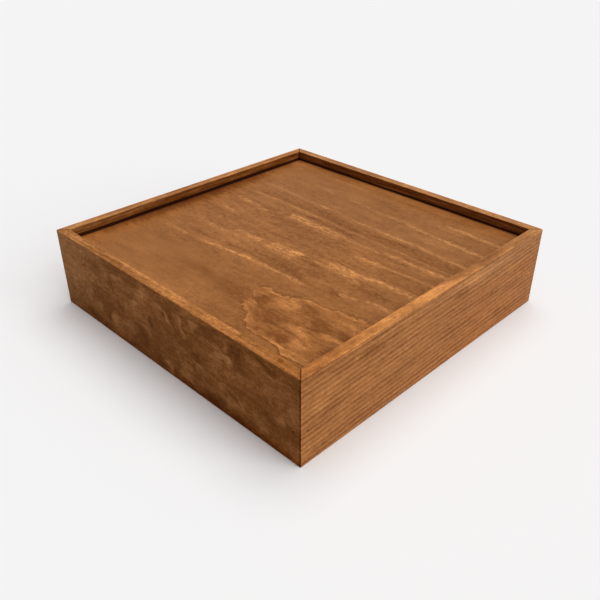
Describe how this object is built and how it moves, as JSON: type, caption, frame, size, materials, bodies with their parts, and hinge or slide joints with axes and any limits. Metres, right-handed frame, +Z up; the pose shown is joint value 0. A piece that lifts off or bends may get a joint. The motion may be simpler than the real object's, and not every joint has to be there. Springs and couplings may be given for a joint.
{
  "type": "sliding lid box",
  "caption": "Square wooden keepsake box with mitred walls and a flat recessed lid that slides out through a slot in one wall.",
  "frame": {"origin": "centre of the footprint, on the surface that the box stands on", "axes": "+Z up; X along the lid's grain and its travel, the slotted wall at -X; Y across, the front wall at -Y"},
  "size_m": [0.33, 0.33, 0.0805],
  "materials": {
    "stained_wall_wood": "brown stain under a thin satin coat, grain along each board",
    "stained_lid_wood": "brown stain under a thin satin coat, figured flat-cut face, grain along X",
    "stained_panel_wood": "brown stain, matt",
    "pin_steel": "dark oiled steel"
  },
  "bodies": {
    "case": {"front_wall": "stained_wall_wood", "right_wall": "stained_wall_wood", "back_wall": "stained_wall_wood", "left_wall": "stained_wall_wood", "bottom_panel": "stained_panel_wood", "corner_pins": "pin_steel"},
    "sliding_lid": {"lid": "stained_lid_wood"}
  },
  "joints": [
    {"name": "lid_slide", "type": "slide", "parent": "case", "child": "sliding_lid", "axis": [-1, 0, 0], "range_m": [0, 0.33]}
  ]
}
